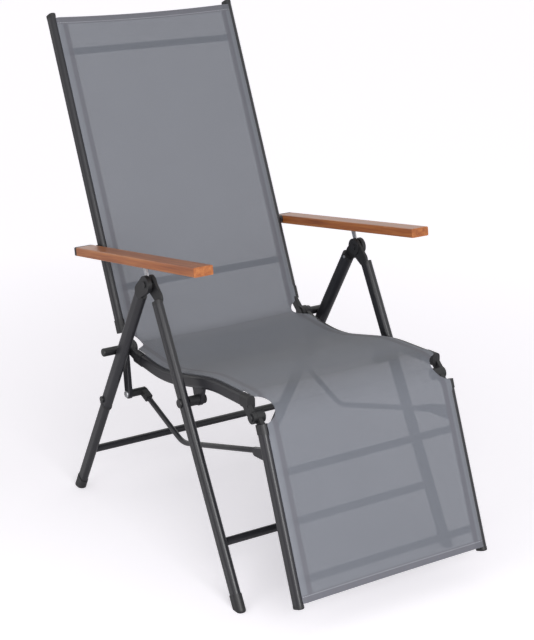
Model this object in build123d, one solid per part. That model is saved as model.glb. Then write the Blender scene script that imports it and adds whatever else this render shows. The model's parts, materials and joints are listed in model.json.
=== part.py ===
from build123d import *
import math
import os

os.makedirs("parts", exist_ok=True)

# Every length is in millimetres and every angle in degrees.
# The chair faces -Y, the floor is z = 0 and x = 0 is its middle plane.
# Side points are (y, z) pairs; "left" is the sitter's left, the +X side.

# main pivots, seen from the side
TOP_HINGE_Y = 5.543
TOP_HINGE_Z = 611.0
SEAT_PIVOT_AHEAD = 143.0
SEAT_PIVOT_Z = 388.0
HIP_BEHIND = 164.0
HIP_Z = 413.0
KNEE_AHEAD = 359.0
KNEE_Z = 420.0
ARM_PIVOT_BEHIND = 284.0
ARM_PIVOT_Z = 617.0
LEVER_END_BEHIND = 152.0
LEVER_END_Z = 307.0
ROD_END_AHEAD = 346.0
ROD_END_Z = 338.0
ROD_BEND_AHEAD = 28.0
ROD_BEND_Z = 242.0
ROD_BEND_RADIUS = 70.0

# side rails and their welt groove
RAIL_PLANE = 235.0
RAIL_WIDTH = 16.0
RAIL_DEPTH = 28.0
RAIL_WALL = 1.8
GROOVE_RADIUS = 3.2
GROOVE_WALL = 1.4
GROOVE_INSET = 3.8
GROOVE_RISE = 6.0
GROOVE_SLIT = 2.2

# back rails
BACK_LEAN = 24.25
BACK_RAIL_SETBACK = 26.3
BACK_RAIL_START = 41.4
BACK_RAIL_LENGTH = 737.0
BACK_UPPER_BAR_FROM_TOP = 81.2
BACK_LOWER_BAR_AT = 140.1

# seat rails
SEAT_REAR_END_BEHIND = 130.0
SEAT_REAR_END_Z = 400.6
SEAT_LOW_BEHIND = 2.0
SEAT_LOW_Z = 392.0
SEAT_RISE_AHEAD = 198.0
SEAT_RISE_Z = 440.0
SEAT_FRONT_AHEAD = 343.0
SEAT_FRONT_Z = 446.0
SEAT_BEND_RADIUS = 400.0

# footrest rails
FOOTREST_LEAN = 21.55
FOOTREST_RAIL_SETOUT = 21.4
FOOTREST_RAIL_START = 19.2
FOOTREST_RAIL_LENGTH = 361.6
FOOTREST_UPPER_BAR_AT = 120.7
FOOTREST_LOWER_BAR_FROM_END = 42.9

# cross bars between the rails
CROSSBAR_RADIUS = 8.0
CROSSBAR_WALL = 1.5
CROSSBAR_DROP = 8.5

# cups and knuckles at the rail ends
CUP_WIDTH = 18.5
CUP_DEPTH = 31.0
CUP_LENGTH = 26.0
CUP_FLOOR = 4.0
FOOTREST_CUP_LENGTH = 16.0
KNUCKLE_RADIUS = 16.0
KNEE_KNUCKLE_RADIUS = 13.0
KNUCKLE_NECK_RADIUS = 10.0
KNEE_NECK_RADIUS = 8.0
INNER_KNUCKLE_X = 226.0
KNUCKLE_SPLIT_X = 234.6
KNUCKLE_GAP = 0.4
OUTER_KNUCKLE_X = 243.5
KNEE_BARREL_X = 216.0

# hip axle, bush, lever and link rod
AXLE_RADIUS = 9.5
AXLE_END_X = 306.0
AXLE_END_ROUND = 3.0
AXLE_HEAD_RADIUS = 12.5
AXLE_HEAD_THICKNESS = 3.0
BUSH_THICKNESS = 1.95
TURN_CLEARANCE = 0.05
LEVER_X = 244.6
LEVER_THICKNESS = 9.4
LEVER_RADIUS = 11.0
LEVER_EYE_RADIUS = 14.0
LEVER_EDGE_ROUND = 2.0
RIVET_RADIUS = 4.0
RIVET_HEAD_RADIUS = 8.0
RIVET_HEAD_THICKNESS = 3.0
RIVET_HEAD_ROUND = 1.5
ROD_PLANE = 212.0
ROD_RADIUS = 6.0
FORK_RADIUS = 9.0
FORK_WALL_ROUND = 1.5
FORK_SOCKET_SIZE = 15.0
FORK_SOCKET_LENGTH = 30.0
SIDE_GAP = 0.5
TONGUE_THICKNESS = 5.0
TONGUE_RADIUS = 8.0
ROD_BRACKET_THICKNESS = 8.0
ROD_BRACKET_EYE = 8.5
ROD_BRACKET_BASE_START = 69.0
ROD_BRACKET_BASE_LENGTH = 30.0
ROD_BRACKET_BASE_HEIGHT = 12.0
ROD_BRACKET_BASE_DROP = 5.0
ROD_END_GAP = 0.3

# knee pins and arm pivots
KNEE_PIN_RADIUS = 4.0
KNEE_PIN_HEAD_RADIUS = 8.0
KNEE_PIN_HEAD_THICKNESS = 3.4
KNEE_PIN_NUT_RADIUS = 7.0
KNEE_PIN_NUT_THICKNESS = 3.6
HEAD_GAP = 0.3
ARM_BOLT_RADIUS = 4.0
ARM_BOLT_REACH = 35.0
ARM_SPACER_RADIUS = 9.0
ARM_SPACER_GAP = 0.2

# legs
LEG_PLANE = 273.0
FRONT_LEG_LEAN = 29.1
FRONT_LEG_OFFSET = 17.0
FRONT_LEG_WIDTH = 18.0
FRONT_LEG_DEPTH = 30.0
FRONT_LEG_GROOVE_AT = 4.5
FRONT_LEG_GROOVE_RADIUS = 1.0
REAR_LEG_LEAN = 30.4
REAR_LEG_OFFSET = 14.6
SLEEVE_WIDTH = 20.4
SLEEVE_DEPTH = 33.0
SLEEVE_WALL = 1.5
SLEEVE_END_AT = 406.0
LOWER_LEG_WIDTH = 16.8
LOWER_LEG_DEPTH = 29.4
LOWER_LEG_START_AT = 330.0
LEG_WALL = 1.8
JOINT_COLLAR_LENGTH = 7.0
JOINT_COLLAR_WALL = 1.2
JOINT_BOLT_AT = 397.0
JOINT_BOLT_SETBACK = 5.5
JOINT_BOLT_HEAD_RADIUS = 8.0
JOINT_BOLT_HEAD_THICKNESS = 4.0
LEG_BAR_RADIUS = 8.75
FRONT_BAR_AT = 566.0
REAR_BAR_AT = 577.5
FOOT_LENGTH = 34.0
FOOT_WALL = 1.4
FOOT_ROUND = 6.0
FOOT_SINK = 7.0
FOOT_PLUG_GAP = 11.0

# top hinge, catch links
HINGE_DISC_RADIUS = 19.0
HINGE_NECK_RADIUS = 15.0
HINGE_BLOCK_START = 42.0
HINGE_BLOCK_LENGTH = 8.0
HINGE_PLUG_LENGTH = 40.0
FRONT_DISC_X = 262.0
FRONT_DISC_END_X = 270.2
REAR_DISC_X = 274.8
REAR_DISC_END_X = 284.0
HINGE_PIN_RADIUS = 4.0
HINGE_PIN_HEAD_RADIUS = 7.0
HINGE_PIN_HEAD_THICKNESS = 2.0
LINK_X = 271.0
LINK_THICKNESS = 3.0
LINK_RADIUS = 9.0
LINK_STRIP_RADIUS = 6.0
LINK_LENGTH = 43.0
LINK_ANGLE = 65.0
CATCH_PIN_RADIUS = 3.0
CATCH_PIN_LENGTH = 13.0
HINGE_RIVET_AT = 46.0
HINGE_RIVET_RADIUS = 3.5
HINGE_RIVET_THICKNESS = 1.5

# seat pivot
PIVOT_BOLT_RADIUS = 4.0
PIVOT_HEAD_RADIUS = 10.0
PIVOT_HEAD_THICKNESS = 5.0
HEAD_ROUND = 2.5
SPACER_RADIUS = 11.0
SPACER_X = 222.0
SPACER_FLOOR = 4.0
SPACER_ROUND = 3.0
SPACER_GAP = 0.3
EAR_X = 232.0
EAR_THICKNESS = 8.0
EAR_RADIUS = 13.0
EAR_BASE_RADIUS = 8.0
EAR_BASE_SPREAD = 30.0
EAR_BASE_RISE = 30.0

# armrests
ARM_WIDTH = 45.0
ARM_THICKNESS = 20.0
ARM_DROP = 1.5
ARM_INNER_X = 250.0
ARM_SLOPE = 9.0
ARM_REAR_REACH = 26.0
ARM_FRONT_REACH = 520.0
ARM_EDGE_ROUND = 3.0
ARM_CAP_LENGTH = 10.0
ARM_GROOVE_WIDTH = 16.0
ARM_GROOVE_DEPTH = 12.5
ARM_GROOVE_START = 159.0
ARM_GROOVE_LENGTH = 288.0
RACK_SIDE_GAP = 0.2
RACK_ROOT = 3.0
RACK_TOOTH = 3.2
RACK_PITCH = 19.1
RACK_FIRST = 267.7
RACK_NOTCH_RADIUS = 3.6
RACK_NOTCH_COUNT = 8
RACK_STOP_LENGTH = 14.0
RACK_STOP_DROP = 2.5
RACK_MARGIN = 16.0

# end caps of the back and footrest rails
END_CAP_LENGTH = 8.0
END_CAP_LIP = 0.4
END_CAP_ROUND = 3.0
PLUG_GAP = 0.2

# sling
SLING_THICKNESS = 1.2
WELT_RADIUS = 2.5
SLING_SAG = 4.0
SLING_FLAT_X = 218.0
STRIP_HALF_WIDTH = 224.0
BACK_SLING_TOP_INSET = 14.0
FOOTREST_SLING_END_INSET = 14.0
SLING_CUP_GAP = 2.0
HIP_CREASE_RADIUS = 70.0
KNEE_FOLD_RADIUS = 30.0
HIP_SCALLOP_RADIUS = 26.0
HIP_SCALLOP_X = 236.0
KNEE_SCALLOP_RADIUS = 29.0
KNEE_SCALLOP_X = 234.0
SCALLOP_REACH = 120.0
STRIP_GAP = 0.6


def side_point(behind, height):
    """A side point given by its distance behind the top hinge and its height."""
    return (TOP_HINGE_Y + behind, height)


TOP_HINGE = side_point(0, TOP_HINGE_Z)
SEAT_PIVOT = side_point(-SEAT_PIVOT_AHEAD, SEAT_PIVOT_Z)
HIP = side_point(HIP_BEHIND, HIP_Z)
KNEE = side_point(-KNEE_AHEAD, KNEE_Z)
ARM_PIVOT = side_point(ARM_PIVOT_BEHIND, ARM_PIVOT_Z)
LEVER_END = side_point(LEVER_END_BEHIND, LEVER_END_Z)
ROD_END = side_point(-ROD_END_AHEAD, ROD_END_Z)
ROD_BEND = side_point(-ROD_BEND_AHEAD, ROD_BEND_Z)
RAIL_INNER_X = RAIL_PLANE - RAIL_WIDTH / 2
RAIL_OUTER_X = RAIL_PLANE + RAIL_WIDTH / 2


def heading(angle):
    """Unit side direction at an angle measured from +Y towards +Z."""
    return (math.cos(math.radians(angle)), math.sin(math.radians(angle)))


def step(point, direction, amount):
    """The side point an amount further along a direction."""
    return (point[0] + direction[0] * amount, point[1] + direction[1] * amount)


def sitter_side(direction):
    """The side direction square to a rail that runs from head to foot, towards the sitter."""
    return (direction[1], -direction[0])


def angle_between(start, end):
    return math.degrees(math.atan2(end[1] - start[1], end[0] - start[0]))


DOWN_BACK = heading(-90 - BACK_LEAN)
UP_BACK = heading(90 - BACK_LEAN)
DOWN_FOOTREST = heading(-90 - FOOTREST_LEAN)
DOWN_FRONT_LEG = heading(-90 - FRONT_LEG_LEAN)
DOWN_REAR_LEG = heading(-90 + REAR_LEG_LEAN)
ALONG_ARM = heading(180 - ARM_SLOPE)

BACK_LINE = step(HIP, sitter_side(DOWN_BACK), -BACK_RAIL_SETBACK)
BACK_RAIL_FOOT = step(BACK_LINE, UP_BACK, BACK_RAIL_START)
BACK_RAIL_TOP = step(BACK_RAIL_FOOT, UP_BACK, BACK_RAIL_LENGTH)
FOOTREST_LINE = step(KNEE, sitter_side(DOWN_FOOTREST), FOOTREST_RAIL_SETOUT)
FOOTREST_RAIL_TOP = step(FOOTREST_LINE, DOWN_FOOTREST, FOOTREST_RAIL_START)
FOOTREST_RAIL_FOOT = step(FOOTREST_RAIL_TOP, DOWN_FOOTREST, FOOTREST_RAIL_LENGTH)
FRONT_LEG_LINE = step(TOP_HINGE, sitter_side(DOWN_FRONT_LEG), FRONT_LEG_OFFSET)
REAR_LEG_LINE = step(TOP_HINGE, sitter_side(DOWN_REAR_LEG), -REAR_LEG_OFFSET)

SEAT_POINTS = [
    side_point(SEAT_REAR_END_BEHIND, SEAT_REAR_END_Z),
    side_point(SEAT_LOW_BEHIND, SEAT_LOW_Z),
    side_point(-SEAT_RISE_AHEAD, SEAT_RISE_Z),
    side_point(-SEAT_FRONT_AHEAD, SEAT_FRONT_Z),
]
SEAT_REAR_HEADING = heading(angle_between(SEAT_POINTS[0], SEAT_POINTS[1]))
SEAT_FRONT_HEADING = heading(angle_between(SEAT_POINTS[2], SEAT_POINTS[3]))


def plate(outline, inner_x, outer_x):
    """A flat outline drawn in the side view, made solid between two x positions."""
    return extrude(Plane.YZ.offset(inner_x) * outline, amount=outer_x - inner_x)


def disc(point, radius):
    return Pos(*point) * Circle(radius)


def pin(point, radius, inner_x, outer_x):
    return plate(disc(point, radius), inner_x, outer_x)


def round_link(start, end, radius):
    """A round-ended outline of even width between two side points."""
    length = math.dist(start, end)
    middle = ((start[0] + end[0]) / 2, (start[1] + end[1]) / 2)
    turn = Rot(0, 0, angle_between(start, end))
    return Pos(*middle) * turn * SlotCenterToCenter(length, radius + radius)


def tapered_link(start, start_radius, end, end_radius):
    """A round-ended outline whose width changes from one side point to the other."""
    both = disc(start, start_radius) + disc(end, end_radius)
    return make_hull(both.edges())


def flat_oval(depth, width):
    """Cross section of the flattened tubes: x across, y along the depth."""
    return SlotOverall(depth, width, rotation=90)


def flat_oval_tube(depth, width, wall):
    return flat_oval(depth, width) - flat_oval(depth - wall - wall, width - wall - wall)


def cross_plane(point, direction, x):
    """The plane square to a side direction at a side point and an x position."""
    return Plane(origin=(x, *point), x_dir=(1, 0, 0), z_dir=(0, *direction))


def straight(section, point, direction, x, length):
    return extrude(cross_plane(point, direction, x) * section, amount=length)


def seat_path(x):
    return Plane.YZ.offset(x) * FilletPolyline(*SEAT_POINTS, radius=SEAT_BEND_RADIUS)


def along_seat(section, x):
    """A section carried along the curved seat rail line."""
    return sweep(cross_plane(SEAT_POINTS[0], SEAT_REAR_HEADING, x) * section, path=seat_path(x))


def other_side(shape):
    return mirror(shape, about=Plane.YZ)


def both_sides(shape):
    return Compound(children=[*shape.solids(), *other_side(shape).solids()])


def save(shape, name):
    export_step(shape, "parts/" + name + ".step")


def save_pair(shape, name):
    save(shape, name + "_left")
    save(other_side(shape), name + "_right")


def rail_section():
    """Flat-oval rail with the round welt groove that opens towards the sling."""
    outer = flat_oval(RAIL_DEPTH, RAIL_WIDTH)
    groove_spot = Pos(-GROOVE_INSET, GROOVE_RISE)
    boss = outer & (groove_spot * Circle(GROOVE_RADIUS + GROOVE_WALL))
    slit = Pos(-RAIL_WIDTH / 2, GROOVE_RISE) * Rectangle(GROOVE_INSET, GROOVE_SLIT)
    tube = flat_oval_tube(RAIL_DEPTH, RAIL_WIDTH, RAIL_WALL)
    return tube + boss - groove_spot * Circle(GROOVE_RADIUS) - slit


def back_rail():
    rail = straight(rail_section(), BACK_RAIL_TOP, DOWN_BACK, RAIL_PLANE, BACK_RAIL_LENGTH)
    return rail - pin(ARM_PIVOT, ARM_BOLT_RADIUS + TURN_CLEARANCE, RAIL_PLANE, RAIL_PLANE + RAIL_WIDTH)


def seat_rail():
    return along_seat(rail_section(), RAIL_PLANE)


def footrest_rail():
    return straight(rail_section(), FOOTREST_RAIL_TOP, DOWN_FOOTREST, RAIL_PLANE, FOOTREST_RAIL_LENGTH)


def cup(point, direction, length):
    """Outside of the cup that holds a rail end; the direction points into the rail."""
    start = step(point, direction, -CUP_FLOOR)
    return straight(flat_oval(CUP_DEPTH, CUP_WIDTH), start, direction, RAIL_PLANE, length + CUP_FLOOR)


def knuckle(pivot, radius, neck_radius, point, direction, length, inner_x, outer_x, bore):
    """Hinge knuckle: disc at the pivot, neck, and the cup over the rail end."""
    middle = step(point, direction, length / 2)
    neck = plate(disc(pivot, radius) + round_link(pivot, middle, neck_radius), inner_x, outer_x)
    body = neck + cup(point, direction, length)
    body -= straight(flat_oval(RAIL_DEPTH, RAIL_WIDTH), point, direction, RAIL_PLANE, length)
    return body - pin(pivot, bore, INNER_KNUCKLE_X - CUP_FLOOR, OUTER_KNUCKLE_X + CUP_FLOOR)


def back_hip_knuckle():
    bore = AXLE_RADIUS + TURN_CLEARANCE + BUSH_THICKNESS + TURN_CLEARANCE
    return knuckle(HIP, KNUCKLE_RADIUS, KNUCKLE_NECK_RADIUS, BACK_RAIL_FOOT, UP_BACK, CUP_LENGTH,
                   INNER_KNUCKLE_X, KNUCKLE_SPLIT_X, bore)


def seat_hip_knuckle():
    return knuckle(HIP, KNUCKLE_RADIUS, KNUCKLE_NECK_RADIUS, SEAT_POINTS[0], SEAT_REAR_HEADING,
                   CUP_LENGTH, KNUCKLE_SPLIT_X + KNUCKLE_GAP, OUTER_KNUCKLE_X, AXLE_RADIUS + TURN_CLEARANCE)


def seat_knee_knuckle():
    back_along = (-SEAT_FRONT_HEADING[0], -SEAT_FRONT_HEADING[1])
    return knuckle(KNEE, KNEE_KNUCKLE_RADIUS, KNUCKLE_NECK_RADIUS, SEAT_POINTS[-1], back_along,
                   CUP_LENGTH, KNUCKLE_SPLIT_X + KNUCKLE_GAP, OUTER_KNUCKLE_X,
                   KNEE_PIN_RADIUS + TURN_CLEARANCE)


def footrest_knuckle():
    """Knuckle of the footrest, its round barrel reaching inboard under the knee of the sling."""
    bore = KNEE_PIN_RADIUS + TURN_CLEARANCE
    body = knuckle(KNEE, KNEE_KNUCKLE_RADIUS, KNEE_NECK_RADIUS, FOOTREST_RAIL_TOP, DOWN_FOOTREST,
                   FOOTREST_CUP_LENGTH, INNER_KNUCKLE_X, KNUCKLE_SPLIT_X, bore)
    body += pin(KNEE, KNEE_KNUCKLE_RADIUS, KNEE_BARREL_X, INNER_KNUCKLE_X)
    return body - pin(KNEE, bore, KNEE_BARREL_X, KNUCKLE_SPLIT_X)


def crossbar(line, direction, along):
    """Round tube between two rails, its ends shaped to the rails' round edges."""
    centre = step(step(line, direction, along), sitter_side(direction), -CROSSBAR_DROP)
    tube_face = disc(centre, CROSSBAR_RADIUS) - disc(centre, CROSSBAR_RADIUS - CROSSBAR_WALL)
    tube = plate(tube_face, -RAIL_PLANE, RAIL_PLANE)
    start = step(step(line, direction, along), direction, -RAIL_DEPTH)
    rail_body = straight(flat_oval(RAIL_DEPTH, RAIL_WIDTH), start, direction, RAIL_PLANE,
                         RAIL_DEPTH + RAIL_DEPTH)
    return largest(tube - rail_body - other_side(rail_body))


def largest(shape):
    return max(shape.solids(), key=lambda piece: piece.volume)


def hip_bush():
    ring = disc(HIP, AXLE_RADIUS + TURN_CLEARANCE + BUSH_THICKNESS) - disc(HIP, AXLE_RADIUS + TURN_CLEARANCE)
    return plate(ring, INNER_KNUCKLE_X, KNUCKLE_SPLIT_X)


def stub_axle():
    axle = pin(HIP, AXLE_RADIUS, INNER_KNUCKLE_X, AXLE_END_X)
    axle = fillet(axle.faces().sort_by(Axis.X)[-1].edges(), AXLE_END_ROUND)
    head_x = INNER_KNUCKLE_X - AXLE_HEAD_THICKNESS
    return axle + pin(HIP, AXLE_HEAD_RADIUS, head_x, INNER_KNUCKLE_X)


def recline_lever():
    outline = round_link(HIP, LEVER_END, LEVER_RADIUS) + disc(HIP, LEVER_EYE_RADIUS)
    bar = plate(outline, LEVER_X, LEVER_X + LEVER_THICKNESS)
    bar = fillet(bar.faces().sort_by(Axis.X)[-1].edges(), LEVER_EDGE_ROUND)
    bar -= pin(HIP, AXLE_RADIUS + TURN_CLEARANCE, RAIL_INNER_X, AXLE_END_X)
    return bar - pin(LEVER_END, RIVET_RADIUS + TURN_CLEARANCE, RAIL_INNER_X, AXLE_END_X)


def round_head(point, radius, inner_x, outer_x, softening):
    """Flat bolt or rivet head with its outer edge rounded."""
    head = pin(point, radius, inner_x, outer_x)
    return fillet(head.faces().sort_by(Axis.X)[-1].edges(), softening)


def lever_rivet():
    lever_face = LEVER_X + LEVER_THICKNESS
    head = round_head(LEVER_END, RIVET_HEAD_RADIUS, lever_face + HEAD_GAP,
                      lever_face + HEAD_GAP + RIVET_HEAD_THICKNESS, RIVET_HEAD_ROUND)
    return head + pin(LEVER_END, RIVET_RADIUS, ROD_PLANE, lever_face + HEAD_GAP)


def rod_heading():
    return heading(angle_between(LEVER_END, ROD_BEND))


def rod_fork():
    """Black barrel inboard of the lever, with the angular socket that holds the rod end."""
    barrel = pin(LEVER_END, FORK_RADIUS, ROD_PLANE - ROD_RADIUS, LEVER_X - SIDE_GAP)
    barrel = fillet(barrel.faces().sort_by(Axis.X)[0].edges(), FORK_WALL_ROUND)
    socket = straight(Rectangle(FORK_SOCKET_SIZE, FORK_SOCKET_SIZE), LEVER_END, rod_heading(), ROD_PLANE,
                      FORK_SOCKET_LENGTH)
    rod_hole = straight(Circle(ROD_RADIUS), step(LEVER_END, rod_heading(), FORK_RADIUS), rod_heading(),
                        ROD_PLANE, FORK_SOCKET_LENGTH)
    whole = barrel + socket - rod_hole
    return whole - pin(LEVER_END, RIVET_RADIUS + TURN_CLEARANCE, ROD_PLANE - HEAD_GAP, LEVER_X)


def rod_tongue_x():
    """Outer face of the flattened rod end, just clear of the footrest bracket."""
    return RAIL_INNER_X - ROD_BRACKET_THICKNESS - ROD_END_GAP


def link_rod():
    bends = FilletPolyline(LEVER_END, ROD_BEND, ROD_END, radius=ROD_BEND_RADIUS)
    path = Plane.YZ.offset(ROD_PLANE) * bends
    rod = sweep(cross_plane(LEVER_END, rod_heading(), ROD_PLANE) * Circle(ROD_RADIUS), path=path)
    inner_x = ROD_PLANE - ROD_RADIUS - SIDE_GAP
    rod = largest(rod - pin(ROD_END, TONGUE_RADIUS, inner_x, ROD_PLANE + ROD_RADIUS + SIDE_GAP))
    back_along = heading(angle_between(ROD_END, ROD_BEND))
    tongue_root = step(ROD_END, back_along, TONGUE_RADIUS + TONGUE_RADIUS)
    tongue_outline = round_link(ROD_END, tongue_root, TONGUE_RADIUS)
    tongue = plate(tongue_outline, rod_tongue_x() - TONGUE_THICKNESS, rod_tongue_x())
    fork_start = step(LEVER_END, rod_heading(), -FORK_RADIUS)
    inside_fork = straight(Rectangle(FORK_SOCKET_SIZE, FORK_SOCKET_SIZE), fork_start, rod_heading(), ROD_PLANE,
                           FORK_RADIUS + FORK_RADIUS)
    return largest(rod + tongue - inside_fork)


def rod_bracket():
    """Plate on the inner face of the footrest rail that reaches back to the rod end."""
    toward = sitter_side(DOWN_FOOTREST)
    base_line = step(FOOTREST_LINE, toward, -ROD_BRACKET_BASE_DROP)
    upper = step(base_line, DOWN_FOOTREST, ROD_BRACKET_BASE_START + ROD_BRACKET_BASE_HEIGHT / 2)
    lower = step(upper, DOWN_FOOTREST, ROD_BRACKET_BASE_LENGTH - ROD_BRACKET_BASE_HEIGHT)
    corners = disc(upper, ROD_BRACKET_BASE_HEIGHT / 2) + disc(lower, ROD_BRACKET_BASE_HEIGHT / 2)
    outline = make_hull((corners + disc(ROD_END, ROD_BRACKET_EYE)).edges())
    return plate(outline, RAIL_INNER_X - ROD_BRACKET_THICKNESS, RAIL_INNER_X)


def knee_pin():
    head_x = OUTER_KNUCKLE_X + HEAD_GAP
    head = round_head(KNEE, KNEE_PIN_HEAD_RADIUS, head_x, head_x + KNEE_PIN_HEAD_THICKNESS, RIVET_HEAD_ROUND)
    nut_end = KNEE_BARREL_X - HEAD_GAP
    nut = pin(KNEE, KNEE_PIN_NUT_RADIUS, nut_end - KNEE_PIN_NUT_THICKNESS, nut_end)
    return head + nut + pin(KNEE, KNEE_PIN_RADIUS, nut_end, head_x)


def arm_pivot_bolt():
    shank = pin(ARM_PIVOT, ARM_BOLT_RADIUS, RAIL_PLANE, ARM_INNER_X + ARM_BOLT_REACH)
    return shank + pin(ARM_PIVOT, ARM_SPACER_RADIUS, RAIL_OUTER_X + ARM_SPACER_GAP,
                       ARM_INNER_X - ARM_SPACER_GAP)


def arm_box(reach_from, length, width, thickness, rise):
    """A block set along the armrest line, measured forward from the arm pivot."""
    section = Pos(0, rise) * Rectangle(width, thickness)
    start = step(ARM_PIVOT, ALONG_ARM, reach_from)
    return straight(section, start, ALONG_ARM, ARM_INNER_X + ARM_WIDTH / 2, length)


def armrest():
    rear = ARM_CAP_LENGTH - ARM_REAR_REACH
    bar = arm_box(rear, ARM_FRONT_REACH - rear, ARM_WIDTH, ARM_THICKNESS, -ARM_DROP)
    long_edges = [edge for edge in bar.edges() if edge.length > ARM_FRONT_REACH / 2]
    bar = fillet(long_edges, ARM_EDGE_ROUND)
    groove_rise = (ARM_GROOVE_DEPTH - ARM_THICKNESS) / 2 - ARM_DROP
    bar -= arm_box(ARM_GROOVE_START, ARM_GROOVE_LENGTH, ARM_GROOVE_WIDTH, ARM_GROOVE_DEPTH, groove_rise)
    bolt_bore = pin(ARM_PIVOT, ARM_BOLT_RADIUS + TURN_CLEARANCE, RAIL_PLANE,
                    ARM_INNER_X + ARM_BOLT_REACH + SIDE_GAP)
    return bar - bolt_bore


def arm_end_cap():
    cap = arm_box(-ARM_REAR_REACH, ARM_CAP_LENGTH, ARM_WIDTH, ARM_THICKNESS, -ARM_DROP)
    across = [edge for edge in cap.edges() if edge.length < ARM_CAP_LENGTH + ARM_EDGE_ROUND]
    along = [edge for edge in across if edge.length > ARM_CAP_LENGTH - ARM_EDGE_ROUND]
    return fillet(along, ARM_EDGE_ROUND)


def notch_rack():
    """Toothed strip in the armrest groove, with the stop at its rear end."""
    ceiling = ARM_GROOVE_DEPTH - ARM_THICKNESS / 2 - ARM_DROP
    height = RACK_ROOT + RACK_TOOTH
    width = ARM_GROOVE_WIDTH - RACK_SIDE_GAP - RACK_SIDE_GAP
    rack_start = RACK_FIRST - RACK_MARGIN
    rack_length = RACK_PITCH * (RACK_NOTCH_COUNT - 1) + RACK_MARGIN + RACK_MARGIN
    rack = arm_box(rack_start, rack_length, width, height, ceiling - height / 2)
    tip_line = step(ARM_PIVOT, sitter_side(ALONG_ARM), ceiling - height)
    for index in range(RACK_NOTCH_COUNT):
        spot = step(tip_line, ALONG_ARM, RACK_FIRST + RACK_PITCH * index)
        rack -= pin(spot, RACK_NOTCH_RADIUS, ARM_INNER_X, ARM_INNER_X + ARM_WIDTH)
    web_length = rack_start - ARM_GROOVE_START
    web = arm_box(ARM_GROOVE_START, web_length, width, RACK_ROOT, ceiling - RACK_ROOT / 2)
    stop_height = ARM_GROOVE_DEPTH + RACK_STOP_DROP
    stop = arm_box(ARM_GROOVE_START, RACK_STOP_LENGTH, width, stop_height, ceiling - stop_height / 2)
    return rack + web + stop


def front_leg_section():
    """Flat-oval tube with two fine grooves along its outer face."""
    upper_groove = Pos(FRONT_LEG_WIDTH / 2, FRONT_LEG_GROOVE_AT) * Circle(FRONT_LEG_GROOVE_RADIUS)
    lower_groove = Pos(FRONT_LEG_WIDTH / 2, -FRONT_LEG_GROOVE_AT) * Circle(FRONT_LEG_GROOVE_RADIUS)
    return flat_oval_tube(FRONT_LEG_DEPTH, FRONT_LEG_WIDTH, LEG_WALL) - upper_groove - lower_groove


def leg_span(line, direction, start, end, section):
    """A straight leg piece between two distances along a leg line."""
    return straight(section, step(line, direction, start), direction, LEG_PLANE, end - start)


def floor_distance(line, direction):
    """Distance along a leg line at which it meets the floor."""
    return -line[1] / direction[1]


def front_leg():
    end = floor_distance(FRONT_LEG_LINE, DOWN_FRONT_LEG) - FOOT_PLUG_GAP
    start = HINGE_BLOCK_START + HINGE_BLOCK_LENGTH
    leg = leg_span(FRONT_LEG_LINE, DOWN_FRONT_LEG, start, end, front_leg_section())
    return leg - pin(SEAT_PIVOT, PIVOT_BOLT_RADIUS, RAIL_PLANE, AXLE_END_X)


def rear_sleeve():
    section = flat_oval_tube(SLEEVE_DEPTH, SLEEVE_WIDTH, SLEEVE_WALL)
    start = HINGE_BLOCK_START + HINGE_BLOCK_LENGTH
    sleeve = leg_span(REAR_LEG_LINE, DOWN_REAR_LEG, start, SLEEVE_END_AT, section)
    return sleeve - joint_bolt_hole()


def rear_leg():
    section = flat_oval_tube(LOWER_LEG_DEPTH, LOWER_LEG_WIDTH, LEG_WALL)
    end = floor_distance(REAR_LEG_LINE, DOWN_REAR_LEG) - FOOT_PLUG_GAP
    leg = leg_span(REAR_LEG_LINE, DOWN_REAR_LEG, LOWER_LEG_START_AT, end, section)
    return leg - joint_bolt_hole()


def joint_bolt_spot():
    """The joint bolt sits a little behind the middle line of the rear leg."""
    middle = step(REAR_LEG_LINE, DOWN_REAR_LEG, JOINT_BOLT_AT)
    return step(middle, sitter_side(DOWN_REAR_LEG), -JOINT_BOLT_SETBACK)


def joint_bolt_hole():
    return pin(joint_bolt_spot(), PIVOT_BOLT_RADIUS, RAIL_PLANE, AXLE_END_X)


def rear_joint_bolt():
    spot = joint_bolt_spot()
    face = LEG_PLANE + SLEEVE_WIDTH / 2
    head = round_head(spot, JOINT_BOLT_HEAD_RADIUS, face, face + JOINT_BOLT_HEAD_THICKNESS, RIVET_HEAD_ROUND)
    return head + pin(spot, PIVOT_BOLT_RADIUS, LEG_PLANE - SLEEVE_WIDTH / 2, face)


def rear_joint_collar():
    """Plastic ring that closes the gap at the end of the rear sleeve."""
    outer = flat_oval(SLEEVE_DEPTH + JOINT_COLLAR_WALL, SLEEVE_WIDTH + JOINT_COLLAR_WALL)
    ring = outer - flat_oval(LOWER_LEG_DEPTH, LOWER_LEG_WIDTH)
    return leg_span(REAR_LEG_LINE, DOWN_REAR_LEG, SLEEVE_END_AT, SLEEVE_END_AT + JOINT_COLLAR_LENGTH, ring)


def leg_crossbar(line, direction, along, inner_face):
    centre = step(line, direction, along)
    tube_face = disc(centre, LEG_BAR_RADIUS) - disc(centre, LEG_BAR_RADIUS - CROSSBAR_WALL)
    return plate(tube_face, -inner_face, inner_face)


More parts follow.
